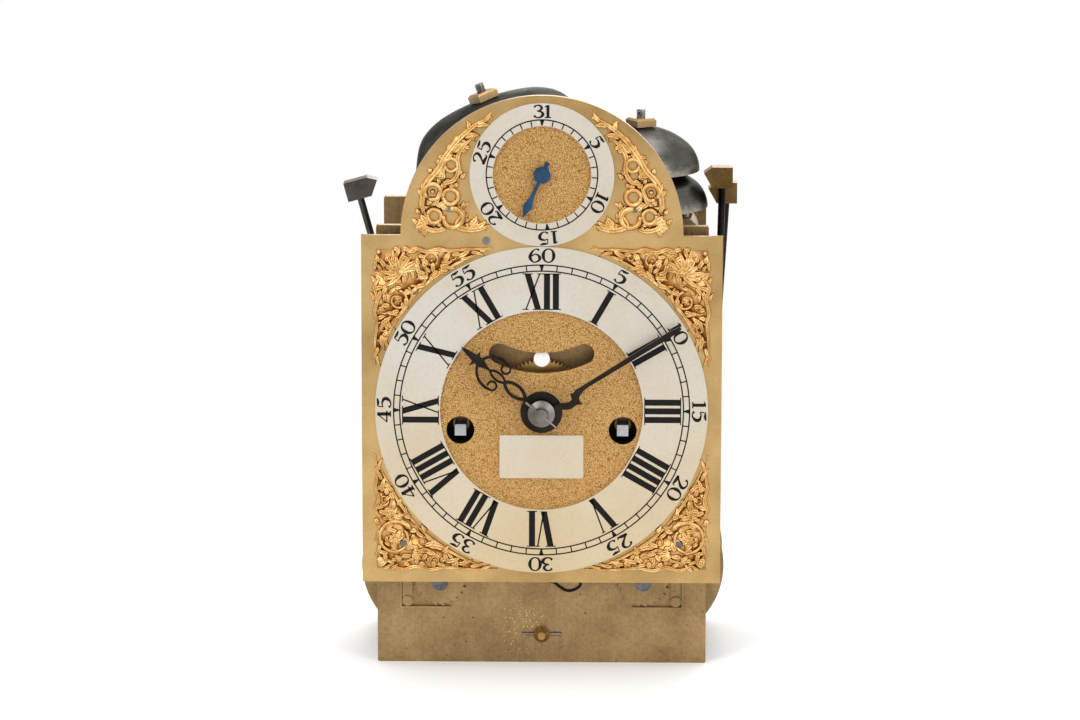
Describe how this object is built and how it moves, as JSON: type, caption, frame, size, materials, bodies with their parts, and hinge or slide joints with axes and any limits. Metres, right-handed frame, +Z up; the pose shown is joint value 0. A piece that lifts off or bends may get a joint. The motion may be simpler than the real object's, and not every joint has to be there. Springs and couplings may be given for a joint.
{
  "type": "bracket clock movement with dial",
  "caption": "Verge bracket clock out of its case: arched brass dial with silvered rings, fusee movement between plates, short pendulum, and a bell and hammer strike above.",
  "frame": {"origin": "middle of the front plate's bottom edge, at half the plate's thickness", "axes": "+X to the right of the dial, +Y from the dial to the back, +Z up"},
  "size_m": [0.1693, 0.117, 0.2481],
  "materials": {
    "plate_brass": "aged polished brass",
    "dial_brass": "matted and polished brass",
    "silvered": "silvered",
    "gilt": "gilt cast brass",
    "wheel_brass": "brushed brass",
    "steel": "old polished steel",
    "dark_steel": "blued dark steel",
    "bell_metal": "dark bell metal",
    "white_disc": "silvered disc"
  },
  "bodies": {
    "frame": {"front_plate": "plate_brass", "back_plate": "plate_brass", "pillars": "plate_brass", "pillar_pins": "steel", "dial_plate": "dial_brass", "dial_feet": "plate_brass", "chapter_ring": "silvered", "date_ring": "silvered", "name_plate": "silvered", "top_spandrels": "gilt", "bottom_spandrels": "gilt", "arch_spandrels": "gilt", "spandrel_screws": "steel", "barrel_arbors": "steel", "ratchet_wheels": "steel", "clicks": "steel", "click_springs": "steel", "wire_spring": "dark_steel", "potence": "plate_brass", "verge_cock": "plate_brass", "hour_bell": "bell_metal", "upper_bell": "bell_metal", "lower_bell": "bell_metal", "hour_bell_stand": "steel", "quarter_bell_stand": "steel", "bell_nuts": "wheel_brass", "hammer_springs": "steel"},
    "minute_hand": {"minute_hand": "dark_steel", "hand_collet": "steel", "hand_pin": "steel", "cannon_wheel": "wheel_brass"},
    "hour_hand": {"hour_hand": "dark_steel", "hour_wheel": "wheel_brass"},
    "minute_wheel": {"minute_wheel": "wheel_brass"},
    "date_hand": {"date_hand": "dark_steel"},
    "going_great_wheel": {"going_great_wheel": "wheel_brass"},
    "going_fusee": {"going_fusee": "plate_brass"},
    "going_barrel": {"going_barrel": "plate_brass"},
    "centre": {"centre_arbor": "steel", "centre_wheel": "wheel_brass"},
    "contrate": {"contrate_arbor": "steel", "contrate_wheel": "wheel_brass"},
    "crown": {"crown_arbor": "steel", "crown_wheel": "wheel_brass"},
    "pendulum": {"verge": "steel", "pendulum_rod": "steel", "pendulum_bob": "wheel_brass", "mock_pendulum": "white_disc"},
    "strike_great_wheel": {"strike_great_wheel": "wheel_brass"},
    "strike_fusee": {"strike_fusee": "plate_brass"},
    "strike_barrel": {"strike_barrel": "plate_brass"},
    "pin_wheel": {"pin_wheel": "wheel_brass"},
    "pallet_wheel": {"pallet_wheel": "wheel_brass"},
    "warning_wheel": {"warning_wheel": "wheel_brass"},
    "fly": {"fly": "wheel_brass"},
    "hour_hammer": {"hour_hammer": "steel"},
    "upper_hammer": {"upper_hammer": "wheel_brass"},
    "lower_hammer": {"lower_hammer": "wheel_brass"},
    "quarter_barrel": {"quarter_barrel": "plate_brass"}
  },
  "joints": [
    {"name": "minute_hand_turn", "type": "hinge", "parent": "frame", "child": "minute_hand", "pos_m": [0, 0, 0.1135], "axis": [0, 1, 0], "continuous": true},
    {"name": "hour_hand_turn", "type": "hinge", "parent": "frame", "child": "hour_hand", "pos_m": [0, 0, 0.1135], "axis": [0, 1, 0], "continuous": true},
    {"name": "minute_wheel_turn", "type": "hinge", "parent": "frame", "child": "minute_wheel", "pos_m": [0, 0, 0.0919], "axis": [0, 1, 0], "continuous": true},
    {"name": "date_hand_turn", "type": "hinge", "parent": "frame", "child": "date_hand", "pos_m": [0, 0, 0.2146], "axis": [0, 1, 0], "continuous": true},
    {"name": "crown_turn", "type": "hinge", "parent": "frame", "child": "crown", "pos_m": [0, 0.036, 0.1441], "axis": [0, 0, 1], "continuous": true},
    {"name": "contrate_turn", "type": "hinge", "parent": "frame", "child": "contrate", "pos_m": [0, 0, 0.1441], "axis": [0, 1, 0], "continuous": true},
    {"name": "centre_turn", "type": "hinge", "parent": "frame", "child": "centre", "pos_m": [0, 0, 0.1135], "axis": [0, 1, 0], "continuous": true},
    {"name": "going_great_turn", "type": "hinge", "parent": "frame", "child": "going_great_wheel", "pos_m": [0.0344, 0, 0.1048], "axis": [0, 1, 0], "continuous": true},
    {"name": "going_winding", "type": "hinge", "parent": "going_great_wheel", "child": "going_fusee", "pos_m": [0.0344, 0, 0.1048], "axis": [0, 1, 0], "range_deg": [-1440, 1440]},
    {"name": "going_barrel_turn", "type": "hinge", "parent": "frame", "child": "going_barrel", "pos_m": [0.0435, 0, 0.0365], "axis": [0, 1, 0], "range_deg": [-860, 860]},
    {"name": "pendulum_swing", "type": "hinge", "parent": "frame", "child": "pendulum", "pos_m": [0, 0, 0.1865], "axis": [0, 1, 0], "range_deg": [-15, 15]},
    {"name": "fly_turn", "type": "hinge", "parent": "frame", "child": "fly", "pos_m": [-0.04916, 0, 0.17492], "axis": [0, 1, 0], "continuous": true},
    {"name": "warning_turn", "type": "hinge", "parent": "frame", "child": "warning_wheel", "pos_m": [-0.03632, 0, 0.17075], "axis": [0, 1, 0], "continuous": true},
    {"name": "pallet_turn", "type": "hinge", "parent": "frame", "child": "pallet_wheel", "pos_m": [-0.026, 0, 0.156], "axis": [0, 1, 0], "continuous": true},
    {"name": "pin_wheel_turn", "type": "hinge", "parent": "frame", "child": "pin_wheel", "pos_m": [-0.04, 0, 0.1383], "axis": [0, 1, 0], "continuous": true},
    {"name": "strike_great_turn", "type": "hinge", "parent": "frame", "child": "strike_great_wheel", "pos_m": [-0.0344, 0, 0.1048], "axis": [0, 1, 0], "continuous": true},
    {"name": "strike_winding", "type": "hinge", "parent": "strike_great_wheel", "child": "strike_fusee", "pos_m": [-0.0344, 0, 0.1048], "axis": [0, 1, 0], "range_deg": [-1440, 1440]},
    {"name": "strike_barrel_turn", "type": "hinge", "parent": "frame", "child": "strike_barrel", "pos_m": [-0.0435, 0, 0.0365], "axis": [0, 1, 0], "range_deg": [-860, 860]},
    {"name": "hour_hammer_swing", "type": "hinge", "parent": "frame", "child": "hour_hammer", "pos_m": [-0.0636, 0, 0.142], "axis": [0, 1, 0], "range_deg": [-8, 13], "stiffness_Nm_per_rad": 0.1, "springref_deg": 0.63},
    {"name": "upper_hammer_swing", "type": "hinge", "parent": "frame", "child": "upper_hammer", "pos_m": [0.065, 0, 0.152], "axis": [0, 1, 0], "range_deg": [-1.8, 8], "stiffness_Nm_per_rad": 0.1, "springref_deg": -0.34},
    {"name": "lower_hammer_swing", "type": "hinge", "parent": "frame", "child": "lower_hammer", "pos_m": [0.058, 0, 0.134], "axis": [0, 1, 0], "range_deg": [-1.8, 8], "stiffness_Nm_per_rad": 0.1, "springref_deg": -0.57},
    {"name": "quarter_barrel_turn", "type": "hinge", "parent": "frame", "child": "quarter_barrel", "pos_m": [0.0595, 0, 0.181], "axis": [0, 1, 0], "continuous": true}
  ],
  "couplings": [
    {"joint": "hour_hand_turn", "follows": "minute_hand_turn", "ratio": 0.083333},
    {"joint": "minute_wheel_turn", "follows": "minute_hand_turn", "ratio": -1},
    {"joint": "contrate_turn", "follows": "crown_turn", "ratio": 0.088235},
    {"joint": "centre_turn", "follows": "crown_turn", "ratio": -0.0067873},
    {"joint": "going_great_turn", "follows": "crown_turn", "ratio": 0.00056561},
    {"joint": "warning_turn", "follows": "fly_turn", "ratio": -0.125},
    {"joint": "pallet_turn", "follows": "fly_turn", "ratio": 0.013889},
    {"joint": "pin_wheel_turn", "follows": "fly_turn", "ratio": -0.0013889},
    {"joint": "strike_great_turn", "follows": "fly_turn", "ratio": 0.00012626},
    {"joint": "going_barrel_turn", "follows": "going_winding", "ratio": 0.58036},
    {"joint": "strike_barrel_turn", "follows": "strike_winding", "ratio": 0.58036}
  ]
}
